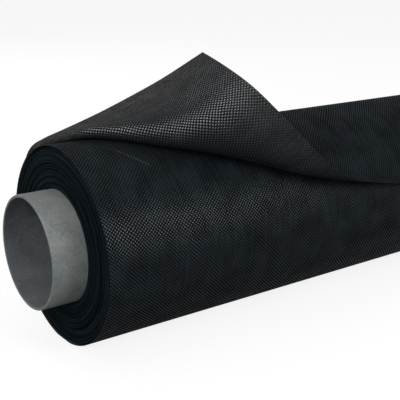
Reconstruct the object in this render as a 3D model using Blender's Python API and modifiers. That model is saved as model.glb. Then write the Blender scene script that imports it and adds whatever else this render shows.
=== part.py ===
"""Roll of black spunbond landscape fabric on a grey plastic core, its front corner turned up.

Metres, +Z up. The roll lies along X and the turned corner is at the -X end, towards -Y.
The origin is the middle of the strip that the roll rests on.
"""

import math

import bmesh
import bpy
from mathutils import Vector

# Driving sizes
FABRIC_WIDTH = 1.0
FABRIC_THICKNESS = 0.0004
ROLL_DIAMETER = 0.134
CORE_DIAMETER = 0.075
CORE_WALL = 0.0021
CORE_OVERHANG = 0.0226
CORE_EDGE_BREAK = 0.0003
TAPE_WIDTH = 0.025
TAPE_THICKNESS = 0.0002
TAPE_MARGIN = 0.02
SEAT_GAP = 0.0003
FLOOR_FLAT = 0.0005
END_RELIEF = 0.0008
CUT_OVERRUN = 0.002

# Angles round the roll, from the top towards the front
CUT_END_ANGLE = math.radians(80)
PEEL_LINE_ANGLE = math.radians(-50)
TAPE_ANGLE = math.radians(115)

# Counts
CORE_STEPS = 64
PACKAGE_STEPS = 72
TURN_STEPS = 96
END_BANDS = 9
TAPE_STEPS = 6
LOOSE_STEPS = 30
STEPS_ALONG_FOLD = 4
STEPS_ACROSS_FOLD = 3

# Derived sizes
TURN = 2 * math.pi
ROLL_RADIUS = ROLL_DIAMETER / 2
CORE_RADIUS = CORE_DIAMETER / 2
BORE_RADIUS = CORE_RADIUS - CORE_WALL
NEAR_END = -FABRIC_WIDTH / 2
FAR_END = FABRIC_WIDTH / 2
TURN_PITCH = FABRIC_THICKNESS + SEAT_GAP

# The turned corner, as stations across the sheet from its cut end back to where it lies flat.
# Each point is (distance from the near end and height over the axis as shares of the roll's
# radius, angle in degrees). A station runs from the selvedge, over the crown, round the fold
# and back onto the roll.
CORNER_SHARES = [
    [(1.60, 6, 1.79), (1.66, 18, 1.74), (1.72, 29, 1.73), (1.80, 40, 1.72), (2.02, 49, 1.62),
     (2.43, 58, 1.37), (2.91, 66, 1.15), (3.49, 73, 1.06), (4.30, 80, 1.00)],
    [(1.18, 1, 1.52), (1.17, 12, 1.42), (1.18, 21, 1.36), (1.16, 31, 1.34), (1.17, 39, 1.31),
     (1.26, 43, 1.21), (1.53, 43, 1.08), (1.93, 47, 1.02), (2.35, 51, 1.00)],
    [(0.78, -6, 1.31), (0.77, 3, 1.23), (0.79, 10, 1.17), (0.79, 17, 1.15), (0.81, 22, 1.11),
     (0.86, 24, 1.06), (0.99, 23, 1.02), (1.17, 23, 1.00), (1.35, 23, 1.00)],
    [(0.41, -13, 1.16), (0.42, -9, 1.11), (0.44, -4, 1.08), (0.46, 0, 1.05), (0.48, 3, 1.03),
     (0.51, 4, 1.01), (0.55, 3, 1.00), (0.61, 1, 1.00), (0.68, -3, 1.00)],
    [(0.00, -23, 1.03), (0.05, -23, 1.03), (0.10, -23, 1.02), (0.15, -23, 1.02),
     (0.20, -23, 1.01), (0.25, -23, 1.01), (0.30, -23, 1.00), (0.34, -23, 1.00),
     (0.38, -23, 1.00)],
    [(0.03 * step, -40, 1.00) for step in range(9)],
]


def layer_radius(around):
    """Outer radius of the sheet, which gains one pitch a turn up to its cut end."""
    return ROLL_RADIUS - TURN_PITCH * (CUT_END_ANGLE - around) / TURN


AXIS_HEIGHT = layer_radius(-math.pi) - FLOOR_FLAT
FIRST_LAYER_RADIUS = layer_radius(PEEL_LINE_ANGLE - TURN) - FABRIC_THICKNESS
PACKAGE_RADIUS = min(FIRST_LAYER_RADIUS, AXIS_HEIGHT - FABRIC_THICKNESS) - SEAT_GAP
PACKAGE_BORE = CORE_RADIUS + TAPE_THICKNESS + 2 * SEAT_GAP
PEEL_AXIS = Vector((0, -layer_radius(PEEL_LINE_ANGLE) * math.sin(PEEL_LINE_ANGLE),
                    AXIS_HEIGHT + layer_radius(PEEL_LINE_ANGLE) * math.cos(PEEL_LINE_ANGLE)))


def around_roll(x, around, radius, depth=0):
    """A point at an angle round the roll, on a layer that lies flat where it meets the floor."""
    inner = radius - depth
    height = max(inner * math.cos(around), depth - AXIS_HEIGHT)
    return Vector((x, -inner * math.sin(around), AXIS_HEIGHT + height))


def reset_scene():
    for thing in list(bpy.data.objects):
        bpy.data.objects.remove(thing, do_unlink=True)


def make_collection(name):
    collection = bpy.data.collections.new(name)
    bpy.context.scene.collection.children.link(collection)
    return collection


def make_material(name, color, roughness, metallic=0.0):
    material = bpy.data.materials.new(name)
    material.use_nodes = True
    shader = material.node_tree.nodes["Principled BSDF"]
    shader.inputs["Base Color"].default_value = (*color, 1.0)
    shader.inputs["Roughness"].default_value = roughness
    shader.inputs["Metallic"].default_value = metallic
    material.diffuse_color = (*color, 1.0)
    return material


def add_object(name, data, collection, material=None):
    thing = bpy.data.objects.new(name, data)
    collection.objects.link(thing)
    if material:
        data.materials.append(material)
    return thing


def shade_round(thing, sharp_angle=math.radians(35)):
    thing.data.shade_smooth()
    thing.data.set_sharp_from_angle(angle=sharp_angle)


def turned(name, profile, steps, collection, material):
    """A closed (x, radius) profile turned round the roll's axis."""
    mesh = bpy.data.meshes.new(name)
    points = [(x, 0, radius) for x, radius in profile]
    edges = [(i, (i + 1) % len(points)) for i in range(len(points))]
    mesh.from_pydata(points, edges, [])
    thing = add_object(name, mesh, collection, material)
    thing.location = (0, 0, AXIS_HEIGHT)
    screw = thing.modifiers.new("turn", "SCREW")
    screw.axis = "X"
    screw.angle = TURN
    screw.steps = steps
    screw.render_steps = steps
    screw.use_merge_vertices = True
    screw.merge_threshold = 1e-5
    screw.use_smooth_shade = True
    return thing


def sheet(name, rows, pivot, collection, material):
    """A sheet of fabric through a grid of points on its outer face."""
    mesh = bpy.data.meshes.new(name)
    form = bmesh.new()
    grid = [[form.verts.new(point - pivot) for point in row] for row in rows]
    for row, after in zip(grid, grid[1:]):
        for i in range(len(row) - 1):
            form.faces.new((row[i], row[i + 1], after[i + 1], after[i]))
    form.to_mesh(mesh)
    form.free()
    thing = add_object(name, mesh, collection, material)
    shade_round(thing)
    solid = thing.modifiers.new("fabric", "SOLIDIFY")
    solid.thickness = FABRIC_THICKNESS
    solid.offset = -1
    return thing


def spread(start, end, steps):
    return [start + (end - start) * i / steps for i in range(steps + 1)]


def smooth_path(points, steps):
    """Points of a smooth curve through the given ones, a fixed number to each gap."""
    path = []
    last = len(points) - 1
    for i in range(last):
        before, start, end, after = (points[max(i - 1, 0)], points[i], points[i + 1],
                                     points[min(i + 2, last)])
        for step in range(steps):
            t = step / steps
            pull = (end - before) * (t - 2 * t**2 + t**3) + (after - start) * (t**3 - t**2)
            path.append(start + (end - start) * (3 * t**2 - 2 * t**3) + pull / 2)
    path.append(points[last])
    return path


def corner_grid():
    """The turned corner as rows of (distance from the near end, angle, share of the radius)."""
    stations = [[Vector((ROLL_RADIUS * x, math.radians(around), radius))
                 for x, around, radius in station] for station in CORNER_SHARES]
    across = [smooth_path(station, STEPS_ACROSS_FOLD) for station in stations]
    columns = [smooth_path(list(column), STEPS_ALONG_FOLD) for column in zip(*across)]
    return [list(row) for row in zip(*columns)]


def seam_points():
    """The line where the turned corner meets the loose end, as (x, angle), one gap outside it."""
    line = [row[-1] for row in corner_grid()]
    seam = []
    for i, point in enumerate(line):
        after = line[min(i + 1, len(line) - 1)]
        before = line[max(i - 1, 0)]
        run = Vector((after.x - before.x, ROLL_RADIUS * (after.y - before.y))).normalized()
        seam.append((NEAR_END + point.x - run.y * SEAT_GAP,
                     point.y + run.x * SEAT_GAP / ROLL_RADIUS))
    return seam


def make_core_tube(collection, material):
    end = FABRIC_WIDTH / 2 + CORE_OVERHANG
    edge = CORE_EDGE_BREAK
    profile = [
        (-end, BORE_RADIUS + edge), (-end + edge, BORE_RADIUS),
        (end - edge, BORE_RADIUS), (end, BORE_RADIUS + edge),
        (end, CORE_RADIUS - edge), (end - edge, CORE_RADIUS),
        (-end + edge, CORE_RADIUS), (-end, CORE_RADIUS - edge),
    ]
    return turned("core_tube", profile, CORE_STEPS, collection, material)


def make_core_tape(collection, material):
    """The strip of tape that holds the first turn to the core."""
    half_angle = TAPE_WIDTH / CORE_RADIUS / 2
    radius = CORE_RADIUS + SEAT_GAP + TAPE_THICKNESS
    rows = []
    for around in spread(TAPE_ANGLE - half_angle, TAPE_ANGLE + half_angle, TAPE_STEPS):
        rows.append([around_roll(x, around, radius)
                     for x in (FAR_END - TAPE_MARGIN, NEAR_END + TAPE_MARGIN)])
    tape = sheet("core_tape", rows, Vector(), collection, material)
    tape.modifiers["fabric"].thickness = TAPE_THICKNESS
    return tape


def make_wound_fabric(collection, material):
    """The wound package, whose end faces stand in and out a little from band to band."""
    def face(side):
        points = []
        for band in range(END_BANDS):
            proud = END_RELIEF * (1 + math.sin(band * (2 + side))) / 2
            x = side * (FABRIC_WIDTH / 2 - proud)
            inner, outer = (PACKAGE_BORE + (PACKAGE_RADIUS - PACKAGE_BORE) * share / END_BANDS
                            for share in (band, band + 1))
            points += [(x, inner), (x, outer)]
        return points
    profile = face(1) + face(-1)[::-1]
    return turned("wound_fabric", profile, PACKAGE_STEPS, collection, material)


def make_outer_turn(collection, material):
    """The last whole turn of the sheet, which ends at the line where the loose end peels off."""
    curve = bpy.data.curves.new("outer_turn", "CURVE")
    curve.dimensions = "2D"
    curve.fill_mode = "BOTH"
    curve.extrude = FABRIC_WIDTH / 2
    outline = []
    angles = spread(PEEL_LINE_ANGLE, PEEL_LINE_ANGLE - TURN, TURN_STEPS)
    for around in angles:
        outline.append(around_roll(0, around, layer_radius(around)))
    for around in reversed(angles):
        outline.append(around_roll(0, around, layer_radius(around), FABRIC_THICKNESS))
    line = curve.splines.new("POLY")
    line.points.add(len(outline) - 1)
    for place, point in zip(line.points, outline):
        place.co = (point.y, point.z, 0, 1)
    line.use_cyclic_u = True
    turn = add_object("outer_turn", curve, collection, material)
    turn.rotation_euler = (math.pi / 2, 0, math.pi / 2)
    return turn


def corner_cutter(collection):
    """A block over the place that the turned corner has left in the loose end."""
    seam = seam_points()
    overrun_angle = CUT_OVERRUN / ROLL_RADIUS
    first, last = seam[0], seam[-1]
    slope = (first[0] - seam[1][0]) / (first[1] - seam[1][1])
    seam = [(first[0] + slope * overrun_angle, first[1] + overrun_angle)] + seam
    seam[-1] = (last[0], last[1] - SEAT_GAP / ROLL_RADIUS)
    mesh = bpy.data.meshes.new("corner_cutter")
    form = bmesh.new()
    rings = []
    for x, around in seam:
        inner = layer_radius(around) - FABRIC_THICKNESS - CUT_OVERRUN
        outer = layer_radius(around) + CUT_OVERRUN
        corners = [(NEAR_END - CUT_OVERRUN, inner), (x, inner),
                   (x, outer), (NEAR_END - CUT_OVERRUN, outer)]
        rings.append([form.verts.new(around_roll(place, around, radius))
                      for place, radius in corners])
    for ring, after in zip(rings, rings[1:]):
        for i in range(4):
            j = (i + 1) % 4
            form.faces.new((ring[i], ring[j], after[j], after[i]))
    form.faces.new(rings[0])
    form.faces.new(rings[-1][::-1])
    bmesh.ops.recalc_face_normals(form, faces=form.faces)
    form.to_mesh(mesh)
    form.free()
    cutter = add_object("corner_cutter", mesh, collection)
    cutter.hide_render = True
    cutter.display_type = "WIRE"
    return cutter


def make_loose_end(collection, cutter, pivot, material):
    """The free end of the sheet, lying on the roll from the peel line to its cut end."""
    start = PEEL_LINE_ANGLE + SEAT_GAP / ROLL_RADIUS
    rows = []
    for around in spread(start, CUT_END_ANGLE, LOOSE_STEPS):
        rows.append([around_roll(x, around, layer_radius(around)) for x in (FAR_END, NEAR_END)])
    loose = sheet("loose_end", rows, pivot.location, collection, material)
    loose.parent = pivot
    cut = loose.modifiers.new("corner", "BOOLEAN")
    cut.operation = "DIFFERENCE"
    cut.solver = "EXACT"
    cut.object = cutter
    return loose


def make_turned_corner(collection, pivot, material):
    """The corner folded back on itself in one soft bulge."""
    rows = []
    for row in corner_grid():
        rows.append([around_roll(NEAR_END + x, around, layer_radius(around) * max(share, 1))
                     for x, around, share in row])
    corner = sheet("turned_corner", rows, pivot.location, collection, material)
    corner.parent = pivot
    return corner


def main():
    reset_scene()
    parts = make_collection("landscape_fabric_roll")
    cutters = make_collection("cutters")
    grey_plastic = make_material("core_plastic", (0.24, 0.26, 0.26), 0.45)
    tape = make_material("paper_tape", (0.62, 0.52, 0.34), 0.6)
    fabric = make_material("spunbond_fabric", (0.012, 0.015, 0.018), 0.7)
    underside = make_material("spunbond_underside", (0.03, 0.032, 0.032), 0.65)

    make_core_tube(parts, grey_plastic)
    make_core_tape(parts, tape)
    make_wound_fabric(parts, fabric)
    make_outer_turn(parts, fabric)

    pivot = bpy.data.objects.new("peel_line", None)
    pivot.location = PEEL_AXIS
    parts.objects.link(pivot)
    cutter = corner_cutter(cutters)
    make_loose_end(parts, cutter, pivot, fabric)
    make_turned_corner(parts, pivot, underside)


main()
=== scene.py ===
"""Looks of the roll of black spunbond landscape fabric on its grey plastic core.

One continuous sheet: wound on the core in 66 turns, then the outer turn, then the loose end with
its corner turned up. Metres, +Z up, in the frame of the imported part.
"""

import math

import bpy
import numpy as np
from mathutils import Matrix, Vector


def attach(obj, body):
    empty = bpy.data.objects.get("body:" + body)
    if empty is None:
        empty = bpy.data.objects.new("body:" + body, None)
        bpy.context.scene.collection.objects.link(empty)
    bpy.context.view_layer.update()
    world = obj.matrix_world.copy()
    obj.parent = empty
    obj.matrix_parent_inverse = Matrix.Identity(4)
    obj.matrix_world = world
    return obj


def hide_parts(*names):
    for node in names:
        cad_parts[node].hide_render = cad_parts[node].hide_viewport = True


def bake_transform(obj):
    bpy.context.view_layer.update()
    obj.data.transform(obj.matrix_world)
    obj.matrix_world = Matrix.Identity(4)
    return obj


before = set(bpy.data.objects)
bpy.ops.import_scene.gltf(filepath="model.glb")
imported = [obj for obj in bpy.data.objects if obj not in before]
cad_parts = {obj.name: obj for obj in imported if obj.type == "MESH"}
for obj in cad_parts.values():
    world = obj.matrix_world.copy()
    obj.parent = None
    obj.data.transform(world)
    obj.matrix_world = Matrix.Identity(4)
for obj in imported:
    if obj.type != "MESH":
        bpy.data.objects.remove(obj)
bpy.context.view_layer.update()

# Sizes, as in the part's source
FABRIC_WIDTH = 1.0
FABRIC_THICKNESS = 0.0004
ROLL_RADIUS = 0.067
CORE_RADIUS = 0.0375
CORE_WALL = 0.0021
CORE_OVERHANG = 0.0226
TAPE_THICKNESS = 0.0002
SEAT_GAP = 0.0003
FLOOR_FLAT = 0.0005
END_RELIEF = 0.0008
CUT_END_ANGLE = math.radians(80)
PEEL_LINE_ANGLE = math.radians(-50)
TURN = 2 * math.pi
TURN_PITCH = FABRIC_THICKNESS + SEAT_GAP
NEAR_END = -FABRIC_WIDTH / 2
FAR_END = FABRIC_WIDTH / 2

# The turned corner, as in the part's source: stations across the sheet from its cut end back,
# each point (distance from the near end as a share of the roll's radius, angle in degrees from
# the top towards the front, distance from the axis as a share of the radius)
CORNER_SHARES = [
    [(1.60, 6, 1.79), (1.66, 18, 1.74), (1.72, 29, 1.73), (1.80, 40, 1.72), (2.02, 49, 1.62),
     (2.43, 58, 1.37), (2.91, 66, 1.15), (3.49, 73, 1.06), (4.30, 80, 1.00)],
    [(1.18, 1, 1.52), (1.17, 12, 1.42), (1.18, 21, 1.36), (1.16, 31, 1.34), (1.17, 39, 1.31),
     (1.26, 43, 1.21), (1.53, 43, 1.08), (1.93, 47, 1.02), (2.35, 51, 1.00)],
    [(0.78, -6, 1.31), (0.77, 3, 1.23), (0.79, 10, 1.17), (0.79, 17, 1.15), (0.81, 22, 1.11),
     (0.86, 24, 1.06), (0.99, 23, 1.02), (1.17, 23, 1.00), (1.35, 23, 1.00)],
    [(0.41, -13, 1.16), (0.42, -9, 1.11), (0.44, -4, 1.08), (0.46, 0, 1.05), (0.48, 3, 1.03),
     (0.51, 4, 1.01), (0.55, 3, 1.00), (0.61, 1, 1.00), (0.68, -3, 1.00)],
    [(0.00, -23, 1.03), (0.05, -23, 1.03), (0.10, -23, 1.02), (0.15, -23, 1.02),
     (0.20, -23, 1.01), (0.25, -23, 1.01), (0.30, -23, 1.00), (0.34, -23, 1.00),
     (0.38, -23, 1.00)],
    [(0.03 * step, -40, 1.00) for step in range(9)],
]
FOLD_START_ANGLE = math.radians(CORNER_SHARES[-1][0][1])

# Sizes of the looks alone: the pipe's rounded edges, an angle past the peel line whose point the
# loose sheet works out but does not use, the turns of the package, and sines of unlike pace that
# make up how far the web had wandered, each with its share, its pace to the turn and its phase
CORE_EDGE_ROUND = 0.0005
BEND_END_ANGLE = math.radians(-25)
PACKAGE_TURNS = 66
WANDER_SINES = [(0.26, 0.61, 0.0), (0.22, 1.37, 1.0), (0.16, 2.9, 2.2), (0.14, 5.1, 0.4),
                (0.10, TURN + 0.5, 0.0)]

# Steps of the meshes, and the angles from which their edges are drawn sharp
PACKAGE_STEPS_A_TURN = 96
OUTER_TURN_STEPS = 240
OUTER_TURN_STEPS_ALONG = 160
LOOSE_STEPS = 100
LOOSE_STEPS_NEAR = 240
LOOSE_STEPS_FAR = 100
CORNER_STEPS = 160
SEAM_STEPS = 2000
CORE_STEPS = 192
CORE_EDGE_STEPS = 4
SHEET_SHARP_ANGLE = math.radians(50)
CORE_SHARP_ANGLE = math.radians(40)

# How the turned corner settles: the part of the sheet that may move, on a square grid, and the
# lines that guide its edges, of which the cut end's goes on past the fold for some radii.
# NO_GUIDE_ABOVE is a height in the picture that nothing reaches
SETTLE_STEPS = 1100
SETTLE_GRID = 0.0036
SETTLE_WIDTH = 0.39
SELVEDGE_GUIDE_STEPS = 240
CUT_GUIDE_STEPS = 400
PAST_FOLD_START_SHARE, PAST_FOLD_END_SHARE, PAST_FOLD_POINTS = 4.31, 6, 20
NO_GUIDE_ABOVE = 9
FREE_PAST_SEAM = 0.06
FREE_FROM_ANGLE = math.radians(-42)

# How far each step of settling goes: the crease's reach and the sink in metres, the rest as shares
STIFFNESS = 0.036
CREASED_STIFFNESS_SHARE = 0.1
CREASE_REACH = 0.065
SINK = 0.0000095
ASLANT_SHARE = 0.5
EDGE_HOLD = 0.2
TIP_HOLD = 0.8
CROWN_HOLD = 0.3

# The fabric's dots, with the reach of their film and of their dish in pitches of the lattice, and
# the depth of the dish in metres
DOT_PITCH = 0.001755
LATTICE_ANGLE = math.radians(45)
DOT_START, DOT_END = 0.21, 0.31
DISH_START, DISH_END = 0.10, 0.44
PRESS_DEPTH = 0.00005

# Noises of the looks, in waves to the metre: over the flat sheet, across and along the web, and on
# the pipe, the tape and the package's ends along the object's axes. Drift and heights in metres
DRIFT = (0.003, 0.003, 0.0)
DRIFT_WAVES = 40.0
FIBRE_WAVES = (2600.0, 700.0, 1.0)
FELT_WAVES = (1500.0, 350.0, 1.0)
STREAK_WAVES = (420.0, 25.0, 1.0)
SLACK_WAVES = (45.0, 70.0, 1.0)
CLOUD_WAVES = 60.0
EDGE_FIBRE_WAVES, EDGE_FIBRE_HEIGHT = 1500.0, 0.0001
RING_WAVES = 1500.0
SECTOR_WAVES = (0.0, 14.0, 14.0)
GRAIN_WAVES, GRAIN_HEIGHT = 700.0, 0.0002
PATCH_WAVES = 70.0
CREPE_WAVES, CREPE_HEIGHT = (60.0, 900.0, 900.0), 0.0002

# The lighter strip along the selvedge, which is fluff and partly painted sheen, the corner of the
# cut end, painted lighter as sheen, and the crease, with its painted highlight, in the flat sheet
STRIP_START, STRIP_END, STRIP_RAGGED = 0.017, 0.034, 0.012
# The corner of the cut end: painted sheen in its colour, and less gloss on its dots
SHEEN_CORNER_START, SHEEN_CORNER_END, SHEEN_CORNER_RAGGED = 0.010, 0.045, 0.02
SHEEN_CORNER_WIDTH_START, SHEEN_CORNER_WIDTH_END = 0.10, 0.16
SHEEN_CORNER_SHARE = 0.4
CREASE_START = (0.027, 0.501, 0.0)
CREASE_END = (0.047, 0.474, 0.0)
CREASE_WIDTH = 0.0007

# Colours, in linear light
FACE_FIBRE = (0.006, 0.0090, 0.0115)
FACE_DOT = (0.007, 0.0100, 0.0105)
UNDER_FIBRE = (0.0062, 0.0088, 0.0114)
UNDER_DOT = (0.0080, 0.0105, 0.0125)
# Lighter felt of the selvedge strip and of the cut end's corner: fluff, with painted sheen
FLUFF_AND_SHEEN = (0.033, 0.034, 0.033)
# Painted highlight along the crease
CREASE_HIGHLIGHT = (0.052, 0.056, 0.056)
EDGES_DARK, EDGES_LIGHT = (0.0002, 0.001, 0.0018), (0.012, 0.020, 0.026)
PLASTIC_DARK, PLASTIC_LIGHT = (0.128, 0.147, 0.146), (0.198, 0.209, 0.203)
# The bore's colours are darker than the pipe's as painted shade of the recess
SHADED_BORE_DARK, SHADED_BORE_LIGHT = (0.053, 0.061, 0.072), (0.092, 0.103, 0.112)
TAPE_DARK, TAPE_LIGHT = (0.50, 0.40, 0.25), (0.66, 0.56, 0.38)
FLOOR_GREY = (0.25, 0.25, 0.25)
WHITE = (1.0, 1.0, 1.0)

# The studio: the floor's half width and glow, the room's light, what gloss sees of the room behind
# and before the object, where it changes between them, in metres on the floor and as a cosine in
# the room, and softboxes by name, each with its place, the point it faces, its size and its watts.
# The window is one more, which lights gloss alone
FLOOR_REACH = 30.0
FLOOR_GLOW = 0.82
ROOM_LIGHT = 0.42
ROOM_IN_GLOSS = 0.3
FRONT_IN_GLOSS = 0.15
FLOOR_DIMS = (-0.3, 0.3)
ROOM_DIMS = (-0.9, 0.4)
SOFTBOXES = {
    "top_softbox": ((-0.5, 0.2, 1.9), (-0.3, 0, 0.05), (1.4, 1.4), 3),
    "back_softbox": ((-0.6, 1.5, 0.9), (-0.1, 0, 0.07), (1.0, 1.0), 6),
    "front_softbox": ((0.1, -1.43, 0.60), (-0.3, 0, 0.05), (0.55, 0.55), 10.5),
    "left_softbox": ((-1.55, -0.83, 0.60), (-0.4, 0, 0.07), (0.9, 0.7), 10),
}
WINDOW = ((-1.56, -0.20, 1.28), (-0.4, 0, 0.10), (1.3, 1.9), 78)

# The photograph's view, with the lens and the sensor in millimetres. The azimuth is from +X round
# +Z to where the camera stands, and it looks down by its elevation, without any roll
CAMERA_LENS = 74.0
CAMERA_SENSOR = 36.0
CAMERA_NEAR = 0.01
CAMERA_PLACE = (-0.723452, -0.462012, 0.244435)
CAMERA_AZIMUTH = math.radians(233.89042)
CAMERA_ELEVATION = math.radians(16.26545)
CAMERA_RIGHT = (-math.sin(CAMERA_AZIMUTH), math.cos(CAMERA_AZIMUTH), 0.0)
CAMERA_BACK = (math.cos(CAMERA_ELEVATION) * math.cos(CAMERA_AZIMUTH),
               math.cos(CAMERA_ELEVATION) * math.sin(CAMERA_AZIMUTH), math.sin(CAMERA_ELEVATION))
CAMERA_UP = tuple(np.cross(CAMERA_BACK, CAMERA_RIGHT))


def layer_radius(around):
    """Outer radius of the sheet, which gains one pitch a turn up to its cut end."""
    return ROLL_RADIUS - TURN_PITCH * (CUT_END_ANGLE - around) / TURN


AXIS_HEIGHT = layer_radius(-math.pi) - FLOOR_FLAT
OUTER_END = PEEL_LINE_ANGLE - TURN
FIRST_LAYER_RADIUS = layer_radius(OUTER_END) - FABRIC_THICKNESS
PACKAGE_RADIUS = min(FIRST_LAYER_RADIUS, AXIS_HEIGHT - FABRIC_THICKNESS) - SEAT_GAP
PACKAGE_BORE = CORE_RADIUS + TAPE_THICKNESS + 2 * SEAT_GAP


def around_roll(x, around, radius, depth=0.0):
    """Points at angles round the roll, on a layer that lies flat where it meets the floor."""
    inner = radius - depth
    height = np.maximum(inner * np.cos(around), depth - AXIS_HEIGHT)
    return np.stack(np.broadcast_arrays(x, -inner * np.sin(around), AXIS_HEIGHT + height), -1)


def spline(points, at):
    """The smooth curve through the given points, at places counted in points."""
    points, at = np.asarray(points, float), np.asarray(at, float)
    last = len(points) - 1
    i = np.clip(at.astype(int), 0, last - 1)
    t = (at - i).reshape(at.shape + (1,) * (points.ndim - 1))
    before, start, end = points[np.maximum(i - 1, 0)], points[i], points[i + 1]
    after = points[np.minimum(i + 2, last)]
    pull = (end - before) * (t - 2 * t**2 + t**3) + (after - start) * (t**3 - t**2)
    return start + (end - start) * (3 * t**2 - 2 * t**3) + pull / 2


def smoothstep(value):
    value = np.clip(value, 0, 1)
    return value * value * (3 - 2 * value)


def grid_normals(points):
    """Unit normals of a grid of points."""
    along, across = np.gradient(points, axis=0), np.gradient(points, axis=1)
    normal = np.cross(along, across)
    return normal / np.linalg.norm(normal, axis=-1, keepdims=True)


def sheet_mesh(name, outer, inner, flat, material, under=None):
    """A closed sheet between two grids of points. flat is the grid of material coordinates."""
    rows, columns = outer.shape[:2]
    count = rows * columns
    places = np.concatenate([outer.reshape(-1, 3), inner.reshape(-1, 3)])
    number = np.arange(count).reshape(rows, columns)
    a, b, c, d = number[:-1, :-1], number[1:, :-1], number[1:, 1:], number[:-1, 1:]
    top = np.stack([a, b, c, d], -1).reshape(-1, 4)
    bottom = top[:, ::-1] + count
    rims = []
    for line in (number[0, ::-1], number[:, 0], number[-1], number[::-1, -1]):
        rims.append(np.stack([line[1:], line[:-1], line[:-1] + count, line[1:] + count], -1))
    faces = np.concatenate([top, bottom, *rims])
    mesh = bpy.data.meshes.new(name)
    mesh.from_pydata(places.tolist(), [], faces.tolist())
    uv = np.concatenate([flat.reshape(-1, 2)] * 2)[faces.reshape(-1)]
    mesh.uv_layers.new(name="flat_cut").data.foreach_set("uv", uv.astype(np.float32).reshape(-1))
    thing = bpy.data.objects.new(name, mesh)
    bpy.context.scene.collection.objects.link(thing)
    mesh.materials.append(material)
    if under:
        mesh.materials.append(under)
        slots = np.zeros(len(faces), np.int32)
        slots[len(top):2 * len(top)] = 1
        mesh.polygons.foreach_set("material_index", slots)
    mesh.shade_smooth()
    mesh.set_sharp_from_angle(angle=SHEET_SHARP_ANGLE)
    mesh.validate()
    return thing


# The wound package

def package_radius(back):
    """Outer radius of a layer of the package, by the turns back from its outer end, where it comes
    down from the outer turn in a third of a turn."""
    pitch = (PACKAGE_RADIUS - FABRIC_THICKNESS - PACKAGE_BORE) / PACKAGE_TURNS
    slack = layer_radius(OUTER_END) - PACKAGE_RADIUS
    return PACKAGE_RADIUS - pitch * back + slack * (1 - smoothstep(back * 3))


def web_wander(back):
    """How far the web had wandered along the roll when a layer was wound."""
    wander = sum(share * np.sin(back * pace + phase) for share, pace, phase in WANDER_SINES)
    return END_RELIEF * (0.5 + 0.5 * wander)


def make_package(material):
    back = np.linspace(0, PACKAGE_TURNS, PACKAGE_TURNS * PACKAGE_STEPS_A_TURN + 1)
    around = OUTER_END - back * TURN
    radius, shift = package_radius(back), web_wander(back)
    ends = [NEAR_END + shift, FAR_END - END_RELIEF + shift]
    outer = np.stack([around_roll(x, around, radius) for x in ends], 1)
    inner = np.stack([around_roll(x, around, radius - FABRIC_THICKNESS) for x in ends], 1)
    length = back * TURN * (PACKAGE_RADIUS + PACKAGE_BORE) / 2
    flat = np.stack([np.stack([x - NEAR_END, length], -1) for x in ends], 1)
    package = sheet_mesh("wound_layers", outer[:, ::-1], inner[:, ::-1], flat[:, ::-1], material)
    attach(package, "roll")
    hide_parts("wound_fabric")


# The outer turn and the loose end

def make_outer_turn(material, under):
    around = np.linspace(PEEL_LINE_ANGLE, OUTER_END, OUTER_TURN_STEPS + 1)
    x = np.linspace(NEAR_END, FAR_END, OUTER_TURN_STEPS_ALONG + 1)
    grid_around, grid_x = np.meshgrid(around, x, indexing="ij")
    radius = layer_radius(grid_around)
    outer = around_roll(grid_x, grid_around, radius)
    inner = around_roll(grid_x, grid_around, radius, FABRIC_THICKNESS)
    flat = np.stack([grid_x - NEAR_END, (CUT_END_ANGLE - grid_around) * ROLL_RADIUS], -1)
    turn = sheet_mesh("outer_turn_cloth", outer[:, ::-1], inner[:, ::-1], flat[:, ::-1],
                      material, under)
    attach(turn, "roll")
    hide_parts("outer_turn")


def corner_rows(around, steps=CORNER_STEPS):
    """Rows across the turned corner for the given angles of its seam, from the selvedge to the
    seam: the rows' points, and how far the seam is from the near end."""
    stations = np.array(CORNER_SHARES, float)
    stations[..., 0] *= ROLL_RADIUS
    stations[..., 1] = np.radians(stations[..., 1])
    fine = np.linspace(0, len(stations) - 1, SEAM_STEPS + 1)
    seam = spline(stations[:, -1], fine)
    order = np.argsort(seam[:, 1])
    at = np.interp(around, seam[order, 1], fine[order])
    rows = spline(stations, at)
    across = spline(rows.transpose(1, 0, 2), np.linspace(0, stations.shape[1] - 1, steps + 1))
    across = across.transpose(1, 0, 2)
    radius = layer_radius(across[..., 1]) * np.maximum(across[..., 2], 1)
    return around_roll(NEAR_END + across[..., 0], across[..., 1], radius), rows[:, -1, 0]


def folded_start(around, width):
    """The sheet as the table folds it, on a grid of angles and widths, and which points move."""
    grid_around, grid_width = np.meshgrid(around, width, indexing="ij")
    points = around_roll(NEAR_END + grid_width, grid_around, layer_radius(grid_around))
    turned = around >= FOLD_START_ANGLE
    rows, seams = corner_rows(around[turned])
    for i, (row, seam) in enumerate(zip(rows, seams)):
        step = np.linalg.norm(np.diff(row, axis=0), axis=1)
        length = np.concatenate([[0], np.cumsum(step)])
        inside = width < seam
        at = width[inside] * length[-1] / seam
        for axis in range(3):
            points[i, inside, axis] = np.interp(at, length, row[:, axis])
    reach = np.zeros(len(around))
    reach[:len(seams)] = seams + FREE_PAST_SEAM
    free = (grid_width < reach[:, None]) & (grid_around > FREE_FROM_ANGLE)
    return points, free


def to_picture(points):
    """Where points show in the picture, as shares of their depth, and that depth."""
    turned = (points - np.array(CAMERA_PLACE)) @ np.array(
        [CAMERA_RIGHT, CAMERA_UP, CAMERA_BACK]).T
    return turned[..., :2] / -turned[..., 2:], -turned[..., 2]


def shift_in_picture(points, shift, depth):
    """Moves points across the picture at their own depth."""
    points += (shift[..., :1] * CAMERA_RIGHT + shift[..., 1:] * CAMERA_UP) * depth[..., None]


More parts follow.
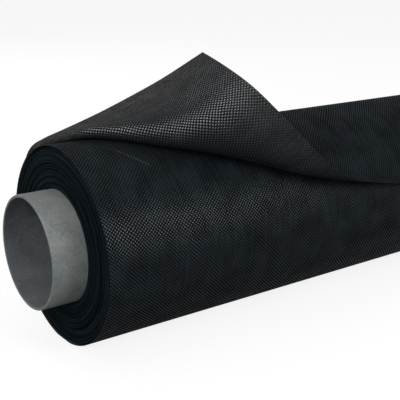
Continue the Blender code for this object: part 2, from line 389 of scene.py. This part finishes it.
def nearest_on(line, places):
    """The nearest places on a line of points in the picture."""
    start, way = line[:-1], np.diff(line, axis=0)
    share = ((places[:, None] - start) * way).sum(-1) / (way * way).sum(-1)
    close = start + np.clip(share, 0, 1)[..., None] * way
    best = ((places[:, None] - close) ** 2).sum(-1).argmin(1)
    return close[np.arange(len(places)), best]


def keep_length(first, second, rest, first_free, second_free, share=1.0):
    """Moves pairs of points to their distance in the flat sheet."""
    gap = second - first
    length = np.linalg.norm(gap, axis=-1)
    count = np.maximum(first_free + second_free, 1)
    pull = (share * (length - rest) / np.maximum(length, 1e-9) / count)[..., None] * gap
    first += pull * first_free[..., None]
    second -= pull * second_free[..., None]


def keep_lengths(points, free, rests):
    """One pass over the sheet's threads along, across and both ways aslant."""
    along, across = rests
    aslant = math.hypot(along, across)
    for odd in (0, 1):
        pairs = (points.shape[0] - odd) // 2
        one, two = slice(odd, odd + 2 * pairs - 1, 2), slice(odd + 1, odd + 2 * pairs, 2)
        keep_length(points[one], points[two], along, free[one], free[two])
        for left, right in ((slice(None, -1), slice(1, None)), (slice(1, None), slice(None, -1))):
            keep_length(points[one, left], points[two, right], aslant,
                        free[one, left], free[two, right], ASLANT_SHARE)
        pairs = (points.shape[1] - odd) // 2
        one, two = slice(odd, odd + 2 * pairs - 1, 2), slice(odd + 1, odd + 2 * pairs, 2)
        keep_length(points[:, one], points[:, two], across, free[:, one], free[:, two])


def straighten(points, free, stiffness):
    """The sheet's stiffness: each bend pushes its three points towards one line."""
    push = np.zeros_like(points)
    for axis in (0, 1):
        for span in (1, 2):
            line, moved = np.moveaxis(points, axis, 0), np.moveaxis(push, axis, 0)
            bend = (line[2 * span:] + line[:-2 * span] - 2 * line[span:-span]) / span
            moved[2 * span:] -= bend
            moved[:-2 * span] -= bend
            moved[span:-span] += 2 * bend
    points += push * (free * stiffness)[..., None]


def rest_on_roll(points):
    """No point of the sheet is inside the roll."""
    side, up = points[..., 1], points[..., 2] - AXIS_HEIGHT
    radius = np.hypot(side, up)
    out = np.maximum(layer_radius(np.arctan2(-side, up)) / radius, 1)
    points[..., 1] = side * out
    points[..., 2] = AXIS_HEIGHT + up * out


def settle(points, free, rests):
    """Lets the folded sheet find its form: it keeps its flat lengths, resists bending, sinks under
    its weight and lies on the roll, while its selvedge and cut end stay on the table's lines as
    the picture shows them."""
    rows, _ = corner_rows(np.linspace(CUT_END_ANGLE, FOLD_START_ANGLE, SELVEDGE_GUIDE_STEPS + 1))
    selvedge = to_picture(rows[:, 0])[0]
    end, _ = corner_rows(np.array([CUT_END_ANGLE]), CUT_GUIDE_STEPS)
    past = np.linspace(PAST_FOLD_START_SHARE, PAST_FOLD_END_SHARE, PAST_FOLD_POINTS)
    beyond = around_roll(NEAR_END + ROLL_RADIUS * past, CUT_END_ANGLE,
                         layer_radius(CUT_END_ANGLE))
    cut = to_picture(np.concatenate([end[0], beyond]))[0]
    order = np.argsort(selvedge[:, 0])
    crown_x, crown_y = selvedge[order].T
    free = free.astype(float)
    width = np.arange(points.shape[1]) * SETTLE_GRID
    share = smoothstep(width / CREASE_REACH)
    stiffness = STIFFNESS * (CREASED_STIFFNESS_SHARE + (1 - CREASED_STIFFNESS_SHARE) * share)
    edge_rows, edge_columns = np.flatnonzero(free[:, 0]), np.flatnonzero(free[0])
    for _ in range(SETTLE_STEPS):
        keep_lengths(points, free, rests)
        straighten(points, free, stiffness)
        for line, chosen in ((selvedge, (edge_rows, 0)), (cut, (0, edge_columns))):
            edge = points[chosen]
            place, depth = to_picture(edge)
            shift_in_picture(edge, EDGE_HOLD * (nearest_on(line, place) - place), depth)
            points[chosen] = edge
        tip = points[0, 0]
        place, depth = to_picture(tip)
        shift_in_picture(tip, TIP_HOLD * (cut[0] - place), depth)
        place, depth = to_picture(points)
        crown = np.interp(place[..., 0], crown_x, crown_y, NO_GUIDE_ABOVE, NO_GUIDE_ABOVE)
        over = np.maximum(place[..., 1] - crown, 0)
        shift_in_picture(points, np.stack([over * 0, -CROWN_HOLD * over * free], -1), depth)
        points[..., 2] -= SINK * free
        rest_on_roll(points)
    return points


def loose_grid():
    """The loose sheet's outer face on a grid of material coordinates."""
    rows = round((CUT_END_ANGLE - PEEL_LINE_ANGLE) * ROLL_RADIUS / SETTLE_GRID)
    around = np.linspace(CUT_END_ANGLE, PEEL_LINE_ANGLE, rows + 1)
    width = np.arange(0, SETTLE_WIDTH, SETTLE_GRID)
    points, free = folded_start(around, width)
    along = (CUT_END_ANGLE - PEEL_LINE_ANGLE) * ROLL_RADIUS / rows
    points = settle(points, free, (along, SETTLE_GRID))
    fine_rows = np.linspace(0, rows, LOOSE_STEPS + 1)
    fine_columns = np.linspace(0, len(width) - 1, LOOSE_STEPS_NEAR + 1)
    near = spline(points, fine_rows)
    near = spline(near.transpose(1, 0, 2), fine_columns).transpose(1, 0, 2)
    rest_on_roll(near)
    fine_around = np.interp(fine_rows, np.arange(rows + 1), around)
    near_width = np.interp(fine_columns, np.arange(len(width)), width)
    far_width = np.linspace(near_width[-1], FABRIC_WIDTH, LOOSE_STEPS_FAR + 1)[1:]
    grid_around, grid_far = np.meshgrid(fine_around, far_width, indexing="ij")
    far = around_roll(NEAR_END + grid_far, grid_around, layer_radius(grid_around))
    outer = np.concatenate([near, far], 1)
    all_width = np.concatenate([near_width, far_width])
    grid_around, grid_width = np.meshgrid(fine_around, all_width, indexing="ij")
    flat = np.stack([grid_width, (CUT_END_ANGLE - grid_around) * ROLL_RADIUS], -1)
    return outer, flat


def make_loose_sheet(material, under):
    outer, flat = loose_grid()
    inner = outer + grid_normals(outer) * FABRIC_THICKNESS
    loose = sheet_mesh("loose_cloth", outer[:, ::-1], inner[:, ::-1], flat[:, ::-1],
                       material, under)
    peel = around_roll(0, PEEL_LINE_ANGLE, layer_radius(PEEL_LINE_ANGLE))
    taken = around_roll(0, BEND_END_ANGLE, layer_radius(PEEL_LINE_ANGLE))
    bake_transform(loose)
    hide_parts("loose_end", "turned_corner")


# The core

def rounded_edge(center_x, center_radius, start):
    """A quarter circle of the pipe's profile, from an angle in degrees."""
    angles = np.radians(np.linspace(start, start + 90, CORE_EDGE_STEPS + 1))
    return [(center_x + CORE_EDGE_ROUND * math.cos(angle),
             center_radius + CORE_EDGE_ROUND * math.sin(angle)) for angle in angles]


def make_core_pipe(material):
    end = FABRIC_WIDTH / 2 + CORE_OVERHANG - CORE_EDGE_ROUND
    inner, outer = CORE_RADIUS - CORE_WALL + CORE_EDGE_ROUND, CORE_RADIUS - CORE_EDGE_ROUND
    profile = (rounded_edge(-end, inner, 180) + rounded_edge(end, inner, 270)
               + rounded_edge(end, outer, 0) + rounded_edge(-end, outer, 90))
    around = np.arange(CORE_STEPS) * TURN / CORE_STEPS
    places = np.concatenate([
        np.stack([np.full(CORE_STEPS, x), -radius * np.sin(around),
                  AXIS_HEIGHT + radius * np.cos(around)], -1)
        for x, radius in profile])
    number = np.arange(len(places)).reshape(len(profile), CORE_STEPS)
    following = np.roll(number, -1, axis=0)
    faces = np.stack([number, following, np.roll(following, -1, axis=1),
                      np.roll(number, -1, axis=1)], -1).reshape(-1, 4)
    mesh = bpy.data.meshes.new("core_pipe")
    mesh.from_pydata(places.tolist(), [], faces.tolist())
    pipe = bpy.data.objects.new("core_pipe", mesh)
    bpy.context.scene.collection.objects.link(pipe)
    mesh.materials.append(material)
    mesh.shade_smooth()
    mesh.set_sharp_from_angle(angle=CORE_SHARP_ANGLE)
    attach(pipe, "roll")
    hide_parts("core_tube")


def dress_core_tape(material):
    """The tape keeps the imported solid, with its own material."""
    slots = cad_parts["core_tape"].data.materials
    slots.clear()
    slots.append(material)


# Materials

class Look:
    """A material's nodes, added one at a time."""

    def __init__(self, name):
        self.material = bpy.data.materials.new(name)
        self.material.use_nodes = True
        self.tree = self.material.node_tree
        self.shader = self.tree.nodes["Principled BSDF"]

    def put(self, socket, value):
        if isinstance(value, bpy.types.NodeSocket):
            self.tree.links.new(value, socket)
        else:
            socket.default_value = value

    def node(self, kind, inputs=(), output=0, **settings):
        made = self.tree.nodes.new(kind)
        for name, value in settings.items():
            setattr(made, name, value)
        for key, value in dict(inputs).items():
            self.put(made.inputs[key], value)
        return made.outputs[output]

    def math(self, operation, *values, clamp=False):
        return self.node("ShaderNodeMath", dict(enumerate(values)), operation=operation,
                         use_clamp=clamp)

    def ramp(self, value, low, high, to_low=0.0, to_high=1.0):
        return self.node("ShaderNodeMapRange", {0: value, 1: low, 2: high, 3: to_low, 4: to_high},
                         interpolation_type="SMOOTHSTEP")

    def mix(self, factor, first, second):
        return self.node("ShaderNodeMix", {0: factor, 6: first, 7: second}, output=2,
                         data_type="RGBA")

    def weighted(self, *terms):
        """The sum of values, each given with its weight."""
        total = None
        for value, weight in terms:
            term = self.math("MULTIPLY", value, weight)
            total = term if total is None else self.math("ADD", total, term)
        return total

    def vector(self, operation, first, second):
        return self.node("ShaderNodeVectorMath", {0: first, 1: second}, operation=operation)

    def measure(self, operation, first, second):
        """A number from two vectors, such as their distance."""
        return self.node("ShaderNodeVectorMath", {0: first, 1: second}, output=1,
                         operation=operation)

    def times(self, vector, factor):
        return self.node("ShaderNodeVectorMath", {0: vector, "Scale": factor}, operation="SCALE")

    def object_place(self):
        return self.node("ShaderNodeTexCoord", output=3)

    def noise(self, vector, waves, detail, output=0):
        """Noise with so many waves to the metre, the same number or one for each axis."""
        if isinstance(waves, tuple):
            vector, waves = self.vector("MULTIPLY", vector, waves), 1.0
        return self.node("ShaderNodeTexNoise", {"Vector": vector, "Scale": waves, "Detail": detail},
                         output=output)

    def bump(self, height, strength, distance):
        return self.node("ShaderNodeBump", {"Height": height, "Strength": strength,
                                            "Distance": distance})

    def set(self, **values):
        for name, value in values.items():
            self.put(self.shader.inputs[name.replace("_", " ")], value)


def rgb(red, green, blue):
    return (red, green, blue, 1.0)


def parts_of(look, vector):
    split = look.tree.nodes.new("ShaderNodeSeparateXYZ")
    look.put(split.inputs[0], vector)
    return split.outputs


def axis_distance(look, place):
    """Distance from the axis of the roll."""
    side = parts_of(look, place)
    up = look.math("SUBTRACT", side[2], AXIS_HEIGHT)
    squares = [look.math("MULTIPLY", value, value) for value in (side[1], up)]
    return look.math("SQRT", look.math("ADD", *squares))


def drawn_web(look, flat):
    """Places in the flat sheet, shifted as the web was drawn a little unevenly under the dots."""
    drift = look.noise(flat, DRIFT_WAVES, 2.0, output=1)
    drift = look.vector("SUBTRACT", drift, (0.5, 0.5, 0.5))
    return look.vector("ADD", flat, look.vector("MULTIPLY", drift, DRIFT))


def dot_distance(look, flat):
    """Distance from the nearest pressed dot, in pitches of the lattice."""
    turned = look.node("ShaderNodeVectorRotate", {"Vector": flat, "Angle": LATTICE_ANGLE},
                       rotation_type="Z_AXIS")
    cells = parts_of(look, look.vector("MULTIPLY", turned, (1 / DOT_PITCH,) * 3))
    offsets = [look.math("SUBTRACT", look.math("FRACT", cells[i]), 0.5) for i in (0, 1)]
    squares = [look.math("MULTIPLY", offset, offset) for offset in offsets]
    return look.math("SQRT", look.math("ADD", *squares))


def crease_line(look, flat):
    """1 along the fine crease in the flat sheet, where its highlight is painted, fading to 0 beside
    it.
    """
    way = Vector(CREASE_END) - Vector(CREASE_START)
    place = look.vector("SUBTRACT", flat, CREASE_START)
    share = look.measure("DOT_PRODUCT", place, way / way.length_squared)
    share = look.math("MULTIPLY", share, 1.0, clamp=True)
    distance = look.measure("DISTANCE", place, look.times(way, share))
    return look.ramp(distance, CREASE_WIDTH, 0.0)


def fluff_and_painted_sheen(look, flat, cloud):
    """1 on the lighter strip along the selvedge, fluff with painted sheen, less on the corner of the
    cut end, which is painted lighter as sheen, 0 elsewhere.
    """
    width, length = parts_of(look, flat)[:2]
    strip = look.ramp(look.weighted((width, 1.0), (cloud, STRIP_RAGGED)), STRIP_END, STRIP_START)
    # The corner of the cut end, painted lighter as sheen; its dots' coat is lessened there too
    sheen_corner = look.ramp(look.weighted((length, 1.0), (cloud, SHEEN_CORNER_RAGGED)),
                       SHEEN_CORNER_END, SHEEN_CORNER_START)
    sheen_corner = look.math("MULTIPLY", sheen_corner,
                       look.ramp(width, SHEEN_CORNER_WIDTH_END, SHEEN_CORNER_WIDTH_START))
    return look.math("MAXIMUM", strip, look.math("MULTIPLY", sheen_corner, SHEEN_CORNER_SHARE))


def fabric_look(name, fibre, dot, sheen, film_ior, film_rough, turned_up=False):
    """Spunbond: a felt of fine fibres that run mostly along the web, pressed into a lattice of
    dots, whose melted film is a coat. sheen is the fibres' gloss. The face that is turned up has
    the lighter strip along the selvedge, fluff with painted sheen, and the corner of the cut end
    with painted sheen; the other one has the crease with its painted highlight."""
    look = Look(name)
    flat = look.node("ShaderNodeUVMap", uv_map="flat_cut")
    drawn = drawn_web(look, flat)
    distance = dot_distance(look, drawn)
    spot = look.ramp(distance, DOT_END, DOT_START)
    fibres = look.noise(flat, FIBRE_WAVES, 3.0)
    streaks = look.noise(flat, STREAK_WAVES, 3.0)
    cloud = look.noise(flat, CLOUD_WAVES, 4.0)
    base = look.mix(spot, rgb(*fibre), rgb(*dot))
    pressed = look.math("MULTIPLY", spot, look.ramp(cloud, 0.25, 0.75, 0.7, 1.0))
    if turned_up:
        # Painted sheen: the selvedge strip and the cut end's corner take the lighter felt colour
        fluff_and_sheen = fluff_and_painted_sheen(look, flat, cloud)
        felt = look.ramp(look.noise(flat, FELT_WAVES, 2.0), 0.3, 0.7, 0.6, 1.4)
        base = look.mix(fluff_and_sheen, base, look.times(FLUFF_AND_SHEEN, felt))
        pressed = look.math("MULTIPLY", pressed, look.ramp(fluff_and_sheen, 0.0, 0.9, 1.0, 0.1))
    else:
        # Painted highlight: a light line along the crease
        crease = look.math("MULTIPLY", crease_line(look, drawn), fibres)
        base = look.mix(crease, base, rgb(*CREASE_HIGHLIGHT))
    tone = look.weighted((fibres, 0.7), (streaks, 0.5), (cloud, 0.5))
    color = look.times(base, look.ramp(tone, 0.58, 1.12, 0.45, 1.55))
    rough = look.ramp(fibres, 0.3, 0.7, 0.86, 1.0)
    dish = look.ramp(distance, DISH_END, DISH_START)
    slack = look.noise(flat, SLACK_WAVES, 2.0)
    height = look.weighted((fibres, 0.35), (dish, -1.0), (slack, 5.5))
    bump = look.bump(height, 1.0, PRESS_DEPTH)
    look.set(Base_Color=color, Roughness=rough, Specular_IOR_Level=sheen, Normal=bump,
             Coat_Weight=pressed, Coat_Roughness=film_rough, Coat_IOR=film_ior, Coat_Normal=bump)
    return look.material


def edges_look():
    """The cut edges of the wound layers: dark felt, in rings of a few turns each."""
    look = Look("spunbond_edges")
    place = look.object_place()
    fibres = look.noise(place, EDGE_FIBRE_WAVES, 3.0)
    sector = look.vector("MULTIPLY", place, SECTOR_WAVES)
    ring = look.math("MULTIPLY", axis_distance(look, place), RING_WAVES)
    ring = look.node("ShaderNodeCombineXYZ", {0: ring})
    rings = look.noise(look.vector("ADD", sector, ring), 1.0, 4.0)
    tone = look.ramp(look.weighted((fibres, 0.3), (rings, 0.7)), 0.42, 0.62)
    color = look.mix(tone, rgb(*EDGES_DARK), rgb(*EDGES_LIGHT))
    look.set(Base_Color=color, Roughness=0.8, Specular_IOR_Level=0.015,
             Normal=look.bump(fibres, 0.5, EDGE_FIBRE_HEIGHT))
    return look.material


def plastic_look():
    """Grey recycled plastic, duller in the bore, and darker there as painted shade."""
    look = Look("core_plastic")
    place = look.object_place()
    grain = look.noise(place, GRAIN_WAVES, 4.0)
    patches = look.noise(place, PATCH_WAVES, 5.0)
    tone = look.ramp(look.weighted((grain, 0.5), (patches, 0.5)), 0.38, 0.62)
    inside = look.ramp(axis_distance(look, place), CORE_RADIUS - CORE_WALL * 0.5,
                       CORE_RADIUS - CORE_WALL)
    # Painted shade: the bore takes the darker colours
    color = look.mix(inside, look.mix(tone, rgb(*PLASTIC_DARK), rgb(*PLASTIC_LIGHT)),
                     look.mix(tone, rgb(*SHADED_BORE_DARK), rgb(*SHADED_BORE_LIGHT)))
    rough = look.weighted((look.ramp(grain, 0.3, 0.7, 0.42, 0.56), 1.0), (inside, 0.3))
    look.set(Base_Color=color, Roughness=rough, Specular_IOR_Level=0.3,
             Normal=look.bump(grain, 0.25, GRAIN_HEIGHT))
    return look.material


def tape_look():
    """Crepe paper tape."""
    look = Look("core_tape")
    crepe = look.noise(look.object_place(), CREPE_WAVES, 4.0)
    color = look.mix(look.ramp(crepe, 0.3, 0.7), rgb(*TAPE_DARK), rgb(*TAPE_LIGHT))
    look.set(Base_Color=color, Roughness=0.6, Normal=look.bump(crepe, 0.5, CREPE_HEIGHT))
    return look.material


# Camera, floor and light

def make_camera():
    data = bpy.data.cameras.new("camera")
    data.lens, data.sensor_width, data.clip_start = CAMERA_LENS, CAMERA_SENSOR, CAMERA_NEAR
    camera = bpy.data.objects.new("camera", data)
    bpy.context.scene.collection.objects.link(camera)
    axes = Matrix((CAMERA_RIGHT, CAMERA_UP, CAMERA_BACK)).transposed().to_4x4()
    camera.matrix_world = Matrix.Translation(CAMERA_PLACE) @ axes
    bpy.context.scene.camera = camera


def seen_rays(tree):
    """1 for rays that show the background: straight to the camera, or by gloss or glass."""
    path = tree.nodes.new("ShaderNodeLightPath")
    total = path.outputs["Is Camera Ray"]
    for name in ("Is Glossy Ray", "Is Transmission Ray"):
        add = tree.nodes.new("ShaderNodeMath")
        add.operation = "MAXIMUM"
        tree.links.new(total, add.inputs[0])
        tree.links.new(path.outputs[name], add.inputs[1])
        total = add.outputs[0]
    return total


def room_tone(tree, place, behind, before, white=1.0):
    """White, but in gloss the room darkens from behind the object to before it."""
    front = tree.nodes.new("ShaderNodeVectorMath")
    front.operation = "DOT_PRODUCT"
    tree.links.new(place, front.inputs[0])
    front.inputs[1].default_value = CAMERA_BACK
    dimmed = tree.nodes.new("ShaderNodeMapRange")
    dimmed.interpolation_type = "SMOOTHSTEP"
    tree.links.new(front.outputs["Value"], dimmed.inputs[0])
    for number, value in enumerate((behind, before, white, FRONT_IN_GLOSS), 1):
        dimmed.inputs[number].default_value = value
    path = tree.nodes.new("ShaderNodeLightPath")
    tone = tree.nodes.new("ShaderNodeMix")
    tree.links.new(path.outputs["Is Glossy Ray"], tone.inputs[0])
    tone.inputs[2].default_value = 1.0
    tree.links.new(dimmed.outputs[0], tone.inputs[3])
    return tone.outputs[0]


def make_floor():
    corners = [(FLOOR_REACH * x, FLOOR_REACH * y, 0) for x, y in ((-1, -1), (1, -1), (1, 1), (-1, 1))]
    mesh = bpy.data.meshes.new("floor")
    mesh.from_pydata(corners, [], [(0, 1, 2, 3)])
    floor = bpy.data.objects.new("floor", mesh)
    bpy.context.scene.collection.objects.link(floor)
    look = Look("studio_floor")
    place = look.node("ShaderNodeNewGeometry")
    glow = look.math("MULTIPLY", room_tone(look.tree, place, *FLOOR_DIMS), FLOOR_GLOW)
    look.set(Base_Color=rgb(*FLOOR_GREY), Roughness=0.9, Specular_IOR_Level=0.0,
             Emission_Color=rgb(*WHITE),
             Emission_Strength=look.math("MULTIPLY", seen_rays(look.tree), glow))
    mesh.materials.append(look.material)


def make_world():
    world = bpy.data.worlds.new("studio")
    bpy.context.scene.world = world
    world.use_nodes = True
    tree = world.node_tree
    background = tree.nodes["Background"]
    background.inputs["Color"].default_value = rgb(*WHITE)
    way = tree.nodes.new("ShaderNodeTexCoord")
    strength = tree.nodes.new("ShaderNodeMix")
    tree.links.new(seen_rays(tree), strength.inputs[0])
    strength.inputs[2].default_value = ROOM_LIGHT
    tone = room_tone(tree, way.outputs["Generated"], *ROOM_DIMS, ROOM_IN_GLOSS)
    tree.links.new(tone, strength.inputs[3])
    tree.links.new(strength.outputs[0], background.inputs["Strength"])


def area_light(name, place, target, size, power):
    data = bpy.data.lights.new(name, "AREA")
    data.shape, data.size, data.size_y = "RECTANGLE", size[0], size[1]
    data.energy = power
    light = bpy.data.objects.new(name, data)
    bpy.context.scene.collection.objects.link(light)
    turn = (Vector(target) - Vector(place)).to_track_quat("-Z", "Y")
    light.matrix_world = Matrix.Translation(place) @ turn.to_matrix().to_4x4()
    return light


def main():
    bpy.context.scene.view_settings.view_transform = "Standard"
    face = fabric_look("spunbond_face", FACE_FIBRE, FACE_DOT,
                       sheen=0.01, film_ior=1.58, film_rough=0.41)
    under = fabric_look("spunbond_underside", UNDER_FIBRE, UNDER_DOT,
                        sheen=0.055, film_ior=1.63, film_rough=0.51, turned_up=True)
    edges = edges_look()
    make_core_pipe(plastic_look())
    dress_core_tape(tape_look())
    make_package(edges)
    make_outer_turn(face, under)
    make_loose_sheet(face, under)
    make_camera()
    make_floor()
    make_world()
    for name, softbox in SOFTBOXES.items():
        area_light(name, *softbox)
    area_light("left_window", *WINDOW).visible_diffuse = False


main()
